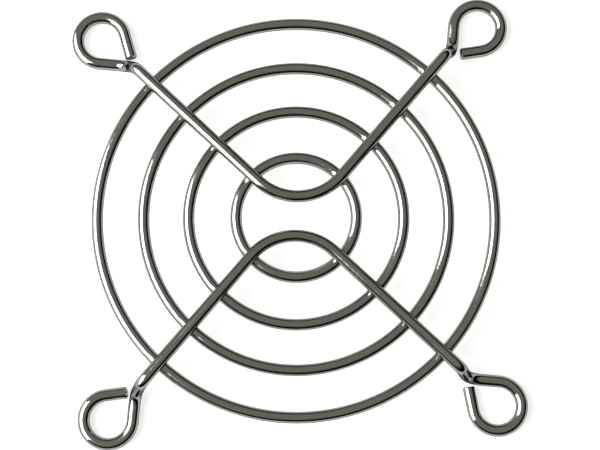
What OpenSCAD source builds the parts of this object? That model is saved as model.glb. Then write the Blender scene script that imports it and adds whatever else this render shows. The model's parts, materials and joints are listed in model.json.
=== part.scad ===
// Wire fan guard: four steel rings welded under two bent ribs that end in screw eyelets.
// The eyelets stand on Z = 0, around the middle of the square hole pattern.

/* [Mounting] */
// Distance between neighbouring eyelet centres
hole_spacing = 71.5; // [70:0.1:76]
// Clear hole of each eyelet
eyelet_hole_d = 6.8; // [6:0.1:8]
// Clearance from the fan's face to the underside of the rings
ring_stand_off = 3.7; // [2:0.1:5]

/* [Wire] */
// Wire diameter of the two ribs
rib_wire_d = 2.2; // [1.8:0.05:2.6]
// Wire diameter of the rings
ring_wire_d = 2.1; // [1.8:0.05:2.4]
// Depth that each weld lets a rib sink into a ring
weld_set_down = 0.4; // [0.1:0.05:0.5]
// Diameter that the rib wire loses where it is bent
bend_thinning = 0.03; // [0.02:0.01:0.06]

/* [Rings] */
// Outside diameter of the outer ring
outer_ring_od = 75.5; // [72:0.1:77]
// Outside diameter of the third ring
third_ring_od = 58.4; // [54:0.1:64]
// Outside diameter of the second ring
second_ring_od = 41.8; // [36:0.1:48]
// Outside diameter of the inner ring
inner_ring_od = 24.3; // [22:0.1:30]

/* [Rib] */
// Angle between the two shanks of a rib
rib_angle = 87.4; // [86:0.1:92]
// How far past the middle of the guard the lines of a rib's shanks meet
shank_offset = 1.5; // [0:0.1:2]
// Centreline radius of the bend in the middle of a rib
centre_bend_r = 10.5; // [9:0.1:12]
// Slope of the joggle that drops a rib to its eyelets
joggle_angle = 65; // [50:1:75]
// Centreline radius of the bend at the top of the joggle
joggle_bend_r = 1.8; // [1.6:0.1:2.4]
// Centreline radius of the bend from the joggle into the eyelet
leg_bend_r = 3.5; // [2.5:0.1:4]

/* [Eyelets] */
// Angle between an eyelet's leg and the guard's diagonal
leg_angle = 38; // [34:0.5:42]
// Angle between tail and diagonal: upper left, upper right, lower left, lower right
tail_angle = [31, 38, 40, 36]; // [28:0.5:46]
// Straight length of each tail, in the same order
tail_length = [4.9, 4, 4, 4.4]; // [2:0.1:5]
// Chamfer round the sheared end of each tail
tail_chamfer = 0.2; // [0.1:0.05:0.4]

/* [Hidden] */

// Facets round a wire, and round each kind of bend
wire_fn = 16;
bend_fn = 40;

// Length by which a bend runs into the straights on either side of it
bend_overlap = 0.05;

// Heights of the wire centrelines
eyelet_z = rib_wire_d / 2;
ring_z = ring_stand_off + ring_wire_d / 2;
rib_z = ring_stand_off + ring_wire_d - weld_set_down + rib_wire_d / 2;

// The eyelets' centreline radius, and their distance from the middle of the guard
eyelet_r = (eyelet_hole_d + rib_wire_d) / 2;
eyelet_reach = hole_spacing / sqrt(2);

// Directions of the upper rib's shanks, seen from above
left_shank = 135;
right_shank = left_shank - rib_angle;

// Point where the lines of the two shanks meet
shank_corner = shank_offset * along(left_shank + 180) + [0, 0, rib_z];

function along(a) = [cos(a), sin(a), 0];
function unit(v) = v / norm(v);
function reverse(list) = [for (i = [len(list) - 1:-1:0]) list[i]];

// Centre of the eyelet on the diagonal at angle diagonal
function eyelet_centre(diagonal) = eyelet_reach * along(diagonal) + [0, 0, eyelet_z];

// Corners of one arm, from the top of the joggle to where the leg runs into the eyelet
function arm(diagonal, shank) =
    let (
        leg = along(diagonal + leg_angle),
        leg_end = eyelet_centre(diagonal) + eyelet_r * along(diagonal + 90 + leg_angle),
        reach = cross(leg_end - shank_corner, leg).z / cross(along(shank), leg).z,
        foot = [shank_corner.x, shank_corner.y, eyelet_z] + reach * along(shank),
        drop = rib_z - eyelet_z
    )
    [foot + [0, 0, drop] - drop / tan(joggle_angle) * along(shank), foot, leg_end];

left_arm = arm(135, left_shank);
right_arm = arm(45, right_shank);

// Straight length that a bend of radius r takes off each side of corner i
function trim(points, radii, i) =
    i == 0 || i == len(points) - 1
        ? 0
        : radii[i] * tan(turn(points, i) / 2);
function turn(points, i) =
    acos(unit(points[i] - points[i - 1]) * unit(points[i + 1] - points[i]));

// Part of a ring of wire with the centreline radius r, about Z
module wire_arc(r, start, sweep) {
    overlap = bend_overlap / r * 180 / PI;
    rotate(start - overlap)
        rotate_extrude(angle = sweep + 2 * overlap, $fn = bend_fn)
            translate([r, 0])
                circle(d = rib_wire_d - bend_thinning, $fn = wire_fn);
}

// Straight wire between two points
module straight(from, to) {
    run = to - from;
    translate(from)
        rotate([0, acos(run.z / norm(run)), atan2(run.y, run.x)])
            cylinder(h = norm(run), d = rib_wire_d, $fn = wire_fn);
}

// Bend at a corner, from the direction before it to the direction after it
module bend(corner, before, after, r) {
    sweep = acos(before * after);
    axis = unit(cross(before, after));
    inward = cross(axis, before);
    middle = corner - r * tan(sweep / 2) * before + r * inward;
    multmatrix([
        [-inward.x, before.x, axis.x, middle.x],
        [-inward.y, before.y, axis.y, middle.y],
        [-inward.z, before.z, axis.z, middle.z],
        [0, 0, 0, 1]
    ])
        wire_arc(r, 0, sweep);
}

// Wire through a list of corners, bent to a radius at each corner between its ends
module bent_wire(points, radii) {
    for (i = [1:len(points) - 1]) {
        run = unit(points[i] - points[i - 1]);
        straight(points[i - 1] + trim(points, radii, i - 1) * run, points[i] - trim(points, radii, i) * run);
    }
    for (i = [1:len(points) - 2])
        bend(points[i], unit(points[i] - points[i - 1]), unit(points[i + 1] - points[i]), radii[i]);
}

// Open loop round the screw, with its straight tail
module eyelet(diagonal, tail_angle, tail_length) {
    wire_r = rib_wire_d / 2;
    translate(eyelet_centre(diagonal)) {
        wire_arc(eyelet_r, diagonal - 90 - tail_angle, 180 + tail_angle + leg_angle);
        rotate(diagonal - 90 - tail_angle)
            translate([eyelet_r, 0, 0])
                rotate([90, 0, 0])
                    rotate_extrude($fn = wire_fn)
                        polygon([
                            [0, 0],
                            [wire_r, 0],
                            [wire_r, tail_length - tail_chamfer],
                            [wire_r - tail_chamfer, tail_length],
                            [0, tail_length]
                        ]);
    }
}

// The rib between the two joggles, which is what the rings meet
module shanks() {
    bent_wire([left_arm[0], shank_corner, right_arm[0]], [0, centre_bend_r, 0]);
}

// A rib, with the numbers of its left and right tails
module rib(left, right) {
    bent_wire(
        concat(reverse(left_arm), [shank_corner], right_arm),
        [0, leg_bend_r, joggle_bend_r, centre_bend_r, joggle_bend_r, leg_bend_r, 0]
    );
    eyelet(135, tail_angle[left], tail_length[left]);
    eyelet(45, tail_angle[right], tail_length[right]);
}

// Ring with a saddle where each shank is welded into it
module ring(od, steps) {
    difference() {
        translate([0, 0, ring_z])
            rotate_extrude($fn = steps)
                translate([(od - ring_wire_d) / 2, 0])
                    circle(d = ring_wire_d, $fn = wire_fn);
        shanks();
        rotate(180)
            shanks();
    }
}

module inner_ring() {
    color("#8f9094") ring(inner_ring_od, 40);
}

module second_ring() {
    color("#8f9094") ring(second_ring_od, 56);
}

module third_ring() {
    color("#8f9094") ring(third_ring_od, 64);
}

module outer_ring() {
    color("#8f9094") ring(outer_ring_od, 72);
}

module upper_rib() {
    color("#9c9da2") rib(0, 1);
}

module lower_rib() {
    color("#9c9da2") rotate(180) rib(3, 2);
}

inner_ring();
second_ring();
third_ring();
outer_ring();
upper_rib();
lower_rib();
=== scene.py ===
"""Looks of a wire fan guard: drawn steel wire, bent and welded, under a bright nickel-chrome plate."""

import json
import math

import bmesh
import bpy
from bpy.props import FloatProperty, FloatVectorProperty, PointerProperty, StringProperty
from mathutils import Matrix, Vector
from mathutils.bvhtree import BVHTree


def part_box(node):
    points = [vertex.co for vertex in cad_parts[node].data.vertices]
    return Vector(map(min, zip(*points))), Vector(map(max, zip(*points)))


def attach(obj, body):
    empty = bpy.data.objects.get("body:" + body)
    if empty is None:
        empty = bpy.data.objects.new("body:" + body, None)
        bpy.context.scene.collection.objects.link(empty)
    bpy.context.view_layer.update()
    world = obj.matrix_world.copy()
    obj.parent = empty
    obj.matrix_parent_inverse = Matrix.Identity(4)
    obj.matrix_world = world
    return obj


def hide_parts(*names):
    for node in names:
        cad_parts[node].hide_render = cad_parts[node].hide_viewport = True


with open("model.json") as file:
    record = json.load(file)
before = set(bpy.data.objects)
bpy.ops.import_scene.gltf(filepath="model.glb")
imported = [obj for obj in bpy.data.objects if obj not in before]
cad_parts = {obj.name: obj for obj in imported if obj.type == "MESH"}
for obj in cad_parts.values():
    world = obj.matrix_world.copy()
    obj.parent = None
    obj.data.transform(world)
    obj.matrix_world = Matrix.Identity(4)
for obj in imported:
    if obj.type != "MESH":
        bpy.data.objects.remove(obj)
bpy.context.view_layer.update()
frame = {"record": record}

bl_info = {
    "name": "Wire Fan Guard",
    "version": (1, 0, 0),
    "blender": (4, 5, 0),
    "location": "View3D > Sidebar > Fan Guard",
    "description": "Bends and welds a plated wire finger guard round its packed solids",
    "category": "Add Mesh",
}

MM = 0.001

# ---------------------------------------------------------------------------------------------
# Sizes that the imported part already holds

RINGS = ("inner_ring", "second_ring", "third_ring", "outer_ring")
MOUNTS = {mount["name"]: mount for mount in frame["record"]["mounts"]}
UPPER_RIGHT = MOUNTS["eyelet_upper_right"]

RING_LOW, RING_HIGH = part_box("outer_ring")
RIB_LOW, RIB_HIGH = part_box("upper_rib")
RING_WIRE_D = RING_HIGH.z - RING_LOW.z
RING_Z = (RING_HIGH.z + RING_LOW.z) / 2
RIB_WIRE_D = UPPER_RIGHT["dims"]["length_mm"] * MM
RIB_Z = RIB_HIGH.z - RIB_WIRE_D / 2
EYELET_Z = RIB_LOW.z + RIB_WIRE_D / 2
EYELET_REACH = math.hypot(*UPPER_RIGHT["pos_m"][:2])
EYELET_R = UPPER_RIGHT["dims"]["r_mm"] * MM + RIB_WIRE_D / 2

UP = Vector((0, 0, 1))
LEFT_DIAGONAL = math.radians(135)
RIGHT_DIAGONAL = math.radians(45)

# Vertices round a wire
SECTION = 48
# Step along a wire. The three larger rings have a longer one, because a torus has 256 steps at most.
STEP = 0.35 * MM

# Edges of a rib that are sharper than this stay crisp, which are those at its sheared ends
CRISP_EDGE = math.radians(30)

# Distance from a rib within which the weld has drawn a ring's metal towards it
WELD_REACH = 0.8 * MM
# How many times its own height a weld's fillet reaches
WELD_SPREAD = 3

# Ripples that the plating bath leaves in the mirror, and patches that handling leaves hazier
RIPPLE_LENGTH = 1.4 * MM
PATCH_LENGTH = 6 * MM
# Range of the noise over which clear plate turns hazy, and how many times the plate's roughness each has
PATCH_EDGES = (0.35, 0.65)
PATCH_HAZE = (0.6, 1.6)

# The room brightens along this direction, from the first to the second of the heights on it
ROOM_LEAN = (-0.25, 0.2, 1)
ROOM_HEIGHTS = (0.3, 0.8)

# Radius of the floor in metres, well past the edges of the camera's view
FLOOR_RADIUS = 4
# How far the floor lies under the eyelets, so that it doesn't touch their wire
FLOOR_DROP = 0.02 * MM


# ---------------------------------------------------------------------------------------------
# Settings


class RibSettings(bpy.types.PropertyGroup):
    """Bends of the two ribs"""

    rib_angle: FloatProperty(
        name="Rib angle",
        description="Angle between the two shanks of a rib",
        default=math.radians(87.4),
        subtype="ANGLE",
    )
    shank_offset: FloatProperty(
        name="Shank offset",
        description="How far past the middle of the guard the lines of a rib's shanks meet",
        default=1.5 * MM,
        unit="LENGTH",
    )
    centre_bend_r: FloatProperty(
        name="Centre bend",
        description="Centreline radius of the bend in the middle of a rib",
        default=10.5 * MM,
        unit="LENGTH",
    )
    joggle_angle: FloatProperty(
        name="Joggle slope",
        description="Slope of the joggle that drops a rib to its eyelets",
        default=math.radians(65),
        subtype="ANGLE",
    )
    joggle_bend_r: FloatProperty(
        name="Joggle bend",
        description="Centreline radius of the bend at the top of the joggle",
        default=1.8 * MM,
        unit="LENGTH",
    )
    leg_bend_r: FloatProperty(
        name="Leg bend",
        description="Centreline radius of the bend from the joggle into the eyelet",
        default=3.5 * MM,
        unit="LENGTH",
    )
    leg_angle: FloatProperty(
        name="Leg angle",
        description="Angle between an eyelet's leg and the guard's diagonal",
        default=math.radians(38),
        subtype="ANGLE",
    )
    tail_angles: FloatVectorProperty(
        name="Tail angles",
        description="Angle between tail and diagonal: upper left, upper right, lower left, lower right",
        size=4,
        default=[math.radians(angle) for angle in (31, 38, 40, 36)],
        unit="ROTATION",
    )
    tail_lengths: FloatVectorProperty(
        name="Tail lengths",
        description="Straight length of each tail, in the same order",
        size=4,
        default=[length * MM for length in (4.9, 4, 4, 4.4)],
        unit="LENGTH",
    )
    tail_chamfer: FloatProperty(
        name="Tail chamfer",
        description="Chamfer round the sheared end of each tail",
        default=0.2 * MM,
        unit="LENGTH",
    )


class FinishSettings(bpy.types.PropertyGroup):
    """Colours of the plate and of the room round it"""

    plate: StringProperty(
        name="Plate",
        description="Colour of the nickel-chrome plate, as sRGB hex",
        default="#9b9c9c",
    )
    plate_edge: StringProperty(
        name="Plate edge",
        description="Tint of the plate at a grazing angle, as sRGB hex",
        default="#77797c",
    )
    plate_roughness: FloatProperty(
        name="Plate roughness",
        description="Roughness of the plate where nothing has pressed it",
        default=0.1,
        min=0,
        max=1,
    )
    ripple_height: FloatProperty(
        name="Ripple height",
        description="Height of the ripples in the plate",
        default=0.025 * MM,
        unit="LENGTH",
    )
    floor: StringProperty(name="Floor", description="Colour of the floor, as sRGB hex", default="#bcbcbc")
    floor_glow: FloatProperty(
        name="Floor glow",
        description="Light that the floor itself shows to the camera and in the metal, where 1 is white",
        default=0.72,
        min=0,
        max=1,
    )
    room_high: StringProperty(
        name="Room overhead",
        description="Colour of the room overhead, as sRGB hex",
        default="#a5a294",
    )
    room_low: StringProperty(
        name="Room low down",
        description="Colour of the room at the horizon, as sRGB hex",
        default="#0c0b09",
    )


class StageSettings(bpy.types.PropertyGroup):
    """Camera and light"""

    camera_distance: FloatProperty(
        name="Camera distance",
        description="From the camera to the point that it looks at",
        default=285.2 * MM,
        unit="LENGTH",
    )
    camera_target: FloatVectorProperty(
        name="Camera target",
        description="Point that the camera looks at",
        default=(0.67 * MM, -0.9 * MM, 1.0 * MM),
        unit="LENGTH",
    )
    camera_tilt: FloatProperty(
        name="Camera tilt",
        description="Angle of the view from straight down",
        default=math.radians(8.28),
        subtype="ANGLE",
    )
    camera_azimuth: FloatProperty(
        name="Camera azimuth",
        description="Turn of the camera's place round the guard's axis",
        default=math.radians(-3.26),
        subtype="ANGLE",
    )
    camera_roll: FloatProperty(
        name="Camera roll",
        description="Turn of the camera about its own axis",
        default=math.radians(-2.02),
        subtype="ANGLE",
    )
    camera_lens: FloatProperty(name="Lens", description="Focal length of the camera, in mm", default=91.53)
    panel_distance: FloatProperty(
        name="Light distance",
        description="From the middle of the guard to the upright light panel on its left",
        default=350 * MM,
        unit="LENGTH",
    )
    panel_height: FloatProperty(
        name="Light height", description="Height of the light panel", default=770 * MM, unit="LENGTH"
    )
    panel_foot: FloatProperty(
        name="Light foot", description="Height of the panel's lower edge", default=95 * MM, unit="LENGTH"
    )
    panel_along: FloatProperty(
        name="Light along", description="How far the panel stands along Y", default=-30 * MM, unit="LENGTH"
    )
    panel_width: FloatProperty(
        name="Light width", description="Width of the light panel", default=480 * MM, unit="LENGTH"
    )
    panel_power: FloatProperty(
        name="Light power", description="Power of the light panel", default=6.8, unit="POWER"
    )


# ---------------------------------------------------------------------------------------------
# Colours and nodes


def linear(hex_colour):
    """Linear RGBA of an sRGB hex colour."""
    channels = [int(hex_colour[i : i + 2], 16) / 255 for i in (1, 3, 5)]
    return (*(c / 12.92 if c <= 0.04045 else ((c + 0.055) / 1.055) ** 2.4 for c in channels), 1)


def add_node(tree, kind, settings=None, **links):
    """A node of that kind, with its settings, and with its inputs set to values or linked to sockets."""
    node = tree.nodes.new(kind)
    for name, value in (settings or {}).items():
        setattr(node, name, value)
    for name, value in links.items():
        key = int(name[1:]) if name[0] == "_" and name[1:].isdigit() else name.replace("_", " ")
        socket = node.inputs[key]
        if isinstance(value, bpy.types.NodeSocket):
            tree.links.new(value, socket)
        else:
            socket.default_value = value
    return node


# ---------------------------------------------------------------------------------------------
# Wire forming


def along(angle):
    """Level direction at an angle from +X."""
    return Vector((math.cos(angle), math.sin(angle), 0))


def edit_only(piece):
    """Makes a piece the only one selected, and opens it in edit mode with nothing picked."""
    bpy.ops.object.select_all(action="DESELECT")
    bpy.context.view_layer.objects.active = piece
    piece.select_set(True)
    bpy.ops.object.mode_set(mode="EDIT")
    bpy.ops.mesh.select_mode(type="VERT")


def start_wire(name, end, direction):
    """Lays down the open end of a wire, square to its direction, picked and ready to be drawn out."""
    bpy.ops.object.select_all(action="DESELECT")
    turn = direction.to_track_quat("Z", "Y").to_euler()
    bpy.ops.mesh.primitive_circle_add(vertices=SECTION, radius=RIB_WIRE_D / 2, location=end, rotation=turn)
    wire = bpy.context.object
    wire.name = name
    bpy.ops.object.transform_apply(location=True, rotation=True, scale=True)
    edit_only(wire)
    bpy.ops.mesh.select_all(action="SELECT")
    return wire


def draw_straight(run):
    """Draws the picked end of the wire out by a vector."""
    steps = max(1, round(run.length / STEP))
    for _ in range(steps):
        bpy.ops.mesh.extrude_edges_move(TRANSFORM_OT_translate={"value": run / steps})


def draw_bend(middle, axis, angle, radius):
    """Draws the picked end of the wire round a bend, anticlockwise about its axis."""
    # spin itself turns clockwise
    steps = max(2, round(angle * radius / STEP))
    bpy.ops.mesh.spin(steps=steps, angle=angle, center=middle, axis=-axis)


def close_end(chamfer, direction):
    """Draws the picked end of the wire in over its chamfer, and closes it."""
    run = chamfer * direction.normalized()
    bpy.ops.mesh.extrude_edges_move(TRANSFORM_OT_translate={"value": run})
    mesh = bmesh.from_edit_mesh(bpy.context.object.data)
    ring = [vertex.co.copy() for vertex in mesh.verts if vertex.select]
    middle = sum(ring, Vector()) / len(ring)
    shrink = 1 - chamfer / (RIB_WIRE_D / 2)
    bpy.ops.transform.resize(value=(shrink,) * 3, center_override=middle)
    bpy.ops.mesh.edge_face_add()


def draw_corner(corner, before, after, radius):
    """Draws the wire round a corner between two directions."""
    angle = before.angle(after)
    axis = before.cross(after).normalized()
    middle = corner - radius * math.tan(angle / 2) * before + radius * axis.cross(before)
    draw_bend(middle, axis, angle, radius)


def arm(diagonal, shank, corner, sizes):
    """Corners of one arm, from the top of the joggle to where the leg runs into the eyelet."""
    leg = along(diagonal + sizes.leg_angle)
    eyelet = EYELET_REACH * along(diagonal) + EYELET_Z * UP
    leg_end = eyelet + EYELET_R * along(diagonal + math.pi / 2 + sizes.leg_angle)
    direction = along(shank)
    reach = (leg_end - corner).cross(leg).z / direction.cross(leg).z
    foot = corner + reach * direction
    foot.z = EYELET_Z
    drop = RIB_Z - EYELET_Z
    top = foot + drop * UP - drop / math.tan(sizes.joggle_angle) * direction
    return top, foot, leg_end


def bend_rib(name, sizes, left, right):
    """A rib as it lies at the top of the guard, drawn from its left tail's end to its right one's."""
    corner = sizes.shank_offset * along(LEFT_DIAGONAL + math.pi) + RIB_Z * UP
    left_arm = arm(LEFT_DIAGONAL, LEFT_DIAGONAL, corner, sizes)
    right_arm = arm(RIGHT_DIAGONAL, LEFT_DIAGONAL - sizes.rib_angle, corner, sizes)
    corners = [*reversed(left_arm), corner, *right_arm]
    radii = [0, sizes.leg_bend_r, sizes.joggle_bend_r, sizes.centre_bend_r]
    radii += radii[2::-1]

    # The left tail from its chamfer on, and its loop, which runs anticlockwise to the leg
    angle = LEFT_DIAGONAL - math.pi / 2 - sizes.tail_angles[left]
    middle = EYELET_REACH * along(LEFT_DIAGONAL) + EYELET_Z * UP
    tail = sizes.tail_lengths[left] * along(angle + math.pi / 2)
    chamfer = sizes.tail_chamfer
    end = middle + EYELET_R * along(angle) - tail + chamfer * tail.normalized()
    wire = start_wire(name, end, tail)
    draw_straight(tail - chamfer * tail.normalized())
    draw_bend(middle, UP, math.pi + sizes.tail_angles[left] + sizes.leg_angle, EYELET_R)

    # The two joggles and the bend between the shanks
    start = corners[0]
    for i, point in enumerate(corners[1:], 1):
        before = (point - corners[i - 1]).normalized()
        if i == len(corners) - 1:
            draw_straight(point - start)
            break
        after = (corners[i + 1] - point).normalized()
        taken = radii[i] * math.tan(before.angle(after) / 2)
        draw_straight(point - taken * before - start)
        draw_corner(point, before, after, radii[i])
        start = point + taken * after

    # The right loop and its tail
    angle = RIGHT_DIAGONAL - math.pi / 2 - sizes.tail_angles[right]
    middle = EYELET_REACH * along(RIGHT_DIAGONAL) + EYELET_Z * UP
    draw_bend(middle, -UP, math.pi + sizes.tail_angles[right] + sizes.leg_angle, EYELET_R)
    direction = along(angle - math.pi / 2)
    draw_straight((sizes.tail_lengths[right] - chamfer) * direction)
    close_end(chamfer, direction)

    # The left tail's end, which is now the wire's only open edge
    bpy.ops.mesh.select_all(action="DESELECT")
    bpy.ops.mesh.select_non_manifold(extend=False, use_boundary=True, use_wire=False, use_multi_face=False)
    close_end(chamfer, -tail)
    bpy.ops.mesh.select_all(action="SELECT")
    bpy.ops.mesh.normals_make_consistent(inside=False)
    bpy.ops.object.mode_set(mode="OBJECT")
    return wire


class FANGUARD_OT_ribs(bpy.types.Operator):
    """Bend the two ribs with their joggles and eyelets"""

    bl_idname = "fanguard.ribs"
    bl_label = "Bend Ribs"
    bl_options = {"REGISTER", "UNDO"}

    def execute(self, context):
        sizes = context.scene.fan_guard_ribs
        for name, node, left, right, turn in (
            ("upper_rib_wire", "upper_rib", 0, 1, 0),
            ("lower_rib_wire", "lower_rib", 3, 2, math.pi),
        ):
            wire = bend_rib(name, sizes, left, right)
            wire.data.transform(Matrix.Rotation(turn, 4, "Z"))
            bpy.ops.object.shade_smooth_by_angle(angle=CRISP_EDGE)
            wire.data.materials.append(bpy.data.materials["nickel_chrome_plate"])
            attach(wire, "root")
            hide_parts(node)
        return {"FINISHED"}


def flow_welds(ring):
    """Draws a ring's metal out into a fillet wherever it nears a rib, as the weld leaves it."""
    for rib in ("upper_rib_wire", "lower_rib_wire"):
        tree = BVHTree.FromObject(bpy.data.objects[rib], bpy.context.evaluated_depsgraph_get())
        for vertex in ring.data.vertices:
            near = tree.find_nearest(vertex.co, WELD_REACH)[3]
            if near is not None:
                vertex.co += (WELD_REACH - near) ** 2 / (WELD_SPREAD * WELD_REACH) * vertex.normal


class FANGUARD_OT_rings(bpy.types.Operator):
    """Roll the four rings and weld them under the ribs"""

    bl_idname = "fanguard.rings"
    bl_label = "Roll Rings"
    bl_options = {"REGISTER", "UNDO"}

    def execute(self, context):
        for node in RINGS:
            low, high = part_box(node)
            radius = (high.x - low.x - RING_WIRE_D) / 2
            bpy.ops.object.select_all(action="DESELECT")
            bpy.ops.mesh.primitive_torus_add(
                major_segments=round(2 * math.pi * radius / STEP),
                minor_segments=SECTION,
                major_radius=radius,
                minor_radius=RING_WIRE_D / 2,
                location=(0, 0, RING_Z),
            )
            ring = bpy.context.object
            ring.name = node + "_wire"
            bpy.ops.object.transform_apply(location=True, rotation=True, scale=True)
            flow_welds(ring)
            bpy.ops.object.shade_smooth()
            ring.data.materials.append(bpy.data.materials["nickel_chrome_plate"])
            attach(ring, "root")
            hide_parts(node)
        return {"FINISHED"}


# ---------------------------------------------------------------------------------------------
# Finishes


def make_plate(finish):
    """Bright nickel-chrome plate on drawn steel wire: a mirror with faint ripples, hazier in patches."""
    material = bpy.data.materials.new("nickel_chrome_plate")
    material.use_nodes = True
    tree = material.node_tree
    shader = tree.nodes["Principled BSDF"]
    shader.inputs["Base Color"].default_value = linear(finish.plate)
    shader.inputs["Metallic"].default_value = 1
    shader.inputs["Specular Tint"].default_value = linear(finish.plate_edge)
    place = add_node(tree, "ShaderNodeTexCoord").outputs["Object"]

    ripple = add_node(tree, "ShaderNodeTexNoise", Vector=place, Scale=1 / RIPPLE_LENGTH, Detail=2)
    patch = add_node(tree, "ShaderNodeTexNoise", Vector=place, Scale=1 / PATCH_LENGTH, Detail=1)
    haze = add_node(
        tree,
        "ShaderNodeMapRange",
        Value=patch.outputs["Fac"],
        From_Min=PATCH_EDGES[0],
        From_Max=PATCH_EDGES[1],
        To_Min=finish.plate_roughness * PATCH_HAZE[0],
        To_Max=finish.plate_roughness * PATCH_HAZE[1],
    )
    bump = add_node(
        tree, "ShaderNodeBump", Height=ripple.outputs["Fac"], Strength=1, Distance=finish.ripple_height
    )
    tree.links.new(haze.outputs["Result"], shader.inputs["Roughness"])
    tree.links.new(bump.outputs["Normal"], shader.inputs["Normal"])


def make_floor(finish):
    """Matt card with a white glow that the camera and the plated wires see. It still takes their shadow."""
    material = bpy.data.materials.new("matt_white_card")
    material.use_nodes = True
    tree = material.node_tree
    tree.nodes.clear()
    card = add_node(tree, "ShaderNodeBsdfDiffuse", Color=linear(finish.floor))
    glow = add_node(tree, "ShaderNodeEmission", Color=(1, 1, 1, 1), Strength=finish.floor_glow)
    path = add_node(tree, "ShaderNodeLightPath")
    seen = add_node(
        tree,
        "ShaderNodeMath",
        {"operation": "ADD"},
        _0=path.outputs["Is Camera Ray"],
        _1=path.outputs["Is Glossy Ray"],
    )
    seen_too = add_node(
        tree,
        "ShaderNodeMath",
        {"operation": "ADD", "use_clamp": True},
        _0=seen.outputs[0],
        _1=path.outputs["Is Transmission Ray"],
    )
    both = add_node(tree, "ShaderNodeAddShader", _0=card.outputs[0], _1=glow.outputs[0])
    mix = add_node(
        tree, "ShaderNodeMixShader", _0=seen_too.outputs[0], _1=card.outputs[0], _2=both.outputs[0]
    )
    add_node(tree, "ShaderNodeOutputMaterial", Surface=mix.outputs[0])
    return material


# ---------------------------------------------------------------------------------------------
# Stage


def make_room(finish):
    """A dim room: olive grey overhead, near black low down, and a little brighter up and to the left."""
    world = bpy.data.worlds.new("dim_room")
    bpy.context.scene.world = world
    world.use_nodes = True
    tree = world.node_tree
    tree.nodes.clear()
    place = add_node(tree, "ShaderNodeTexCoord")
    lean = add_node(
        tree,
        "ShaderNodeVectorMath",
        {"operation": "DOT_PRODUCT"},
        _0=place.outputs["Generated"],
        _1=ROOM_LEAN,
    )
    ramp = add_node(tree, "ShaderNodeValToRGB", Fac=lean.outputs["Value"])
    ramp.color_ramp.interpolation = "EASE"
    ramp.color_ramp.elements[0].position = ROOM_HEIGHTS[0]
    ramp.color_ramp.elements[0].color = linear(finish.room_low)
    ramp.color_ramp.elements[1].position = ROOM_HEIGHTS[1]
    ramp.color_ramp.elements[1].color = linear(finish.room_high)
    background = add_node(tree, "ShaderNodeBackground", Color=ramp.outputs["Color"], Strength=1.0)
    add_node(tree, "ShaderNodeOutputWorld", Surface=background.outputs[0])


def place_camera(stage):
    """Camera over the guard, leaning a little towards its lower edge."""
    tilt, azimuth, roll = stage.camera_tilt, stage.camera_azimuth, stage.camera_roll
    back = Vector((math.sin(tilt) * math.sin(azimuth), -math.sin(tilt) * math.cos(azimuth), math.cos(tilt)))
    right = Vector((0, 1, 0)).cross(back).normalized()
    above = back.cross(right)
    right, above = (
        math.cos(roll) * right + math.sin(roll) * above,
        math.cos(roll) * above - math.sin(roll) * right,
    )
    camera = bpy.data.objects.new("camera", bpy.data.cameras.new("camera"))
    bpy.context.scene.collection.objects.link(camera)
    turn = Matrix((right, above, back)).transposed().to_4x4()
    place = Vector(stage.camera_target) + stage.camera_distance * back
    camera.matrix_world = Matrix.Translation(place) @ turn
    camera.data.lens = stage.camera_lens
    camera.data.sensor_width = 36
    camera.data.clip_start = 0.01
    bpy.context.scene.camera = camera


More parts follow.
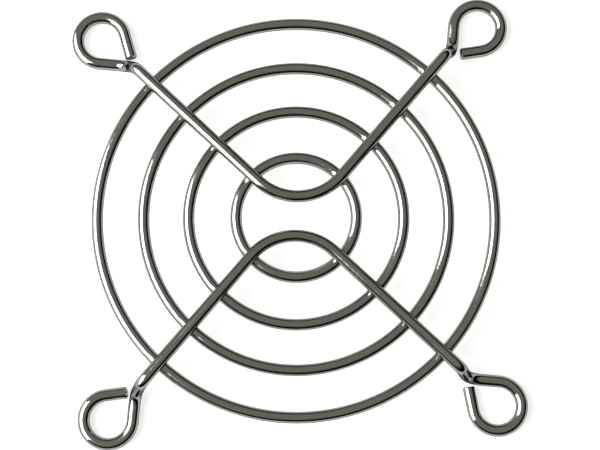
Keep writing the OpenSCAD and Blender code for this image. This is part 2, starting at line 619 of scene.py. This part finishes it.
class FANGUARD_OT_stage(bpy.types.Operator):
    """Set up the floor, the room, the light and the camera"""

    bl_idname = "fanguard.stage"
    bl_label = "Set Stage"
    bl_options = {"REGISTER", "UNDO"}

    def execute(self, context):
        scene = context.scene
        finish = scene.fan_guard_finish
        stage = scene.fan_guard_stage
        scene.view_settings.view_transform = "Standard"
        make_room(finish)
        place_camera(stage)

        bpy.ops.mesh.primitive_circle_add(
            vertices=96, radius=FLOOR_RADIUS, fill_type="NGON", location=(0, 0, -FLOOR_DROP)
        )
        floor = bpy.context.object
        floor.name = "floor"
        floor.data.materials.append(make_floor(finish))

        bpy.ops.object.light_add(
            type="AREA",
            location=(-stage.panel_distance, stage.panel_along, stage.panel_foot + stage.panel_height / 2),
            rotation=(0, -math.pi / 2, 0),
        )
        panel = bpy.context.object
        panel.name = "light_panel"
        panel.data.shape = "RECTANGLE"
        panel.data.size = stage.panel_height
        panel.data.size_y = stage.panel_width
        panel.data.energy = stage.panel_power
        return {"FINISHED"}


class FANGUARD_PT_panel(bpy.types.Panel):
    """Steps that make the guard"""

    bl_idname = "FANGUARD_PT_panel"
    bl_label = "Fan Guard"
    bl_space_type = "VIEW_3D"
    bl_region_type = "UI"
    bl_category = "Fan Guard"

    def draw(self, context):
        for settings in ("fan_guard_ribs", "fan_guard_finish", "fan_guard_stage"):
            group = getattr(context.scene, settings)
            box = self.layout.box()
            for name in group.bl_rna.properties.keys():
                if name not in {"rna_type", "name"}:
                    box.prop(group, name)
        for step in STEPS:
            self.layout.operator(step)


STEPS = ("fanguard.ribs", "fanguard.rings", "fanguard.stage")
CLASSES = (
    RibSettings,
    FinishSettings,
    StageSettings,
    FANGUARD_OT_ribs,
    FANGUARD_OT_rings,
    FANGUARD_OT_stage,
    FANGUARD_PT_panel,
)


def register():
    for cls in CLASSES:
        bpy.utils.register_class(cls)
    bpy.types.Scene.fan_guard_ribs = PointerProperty(type=RibSettings)
    bpy.types.Scene.fan_guard_finish = PointerProperty(type=FinishSettings)
    bpy.types.Scene.fan_guard_stage = PointerProperty(type=StageSettings)


def unregister():
    del bpy.types.Scene.fan_guard_stage
    del bpy.types.Scene.fan_guard_finish
    del bpy.types.Scene.fan_guard_ribs
    for cls in reversed(CLASSES):
        bpy.utils.unregister_class(cls)


def main():
    register()
    make_plate(bpy.context.scene.fan_guard_finish)
    bpy.ops.fanguard.ribs()
    bpy.ops.fanguard.rings()
    bpy.ops.fanguard.stage()


if __name__ == "__main__":
    main()
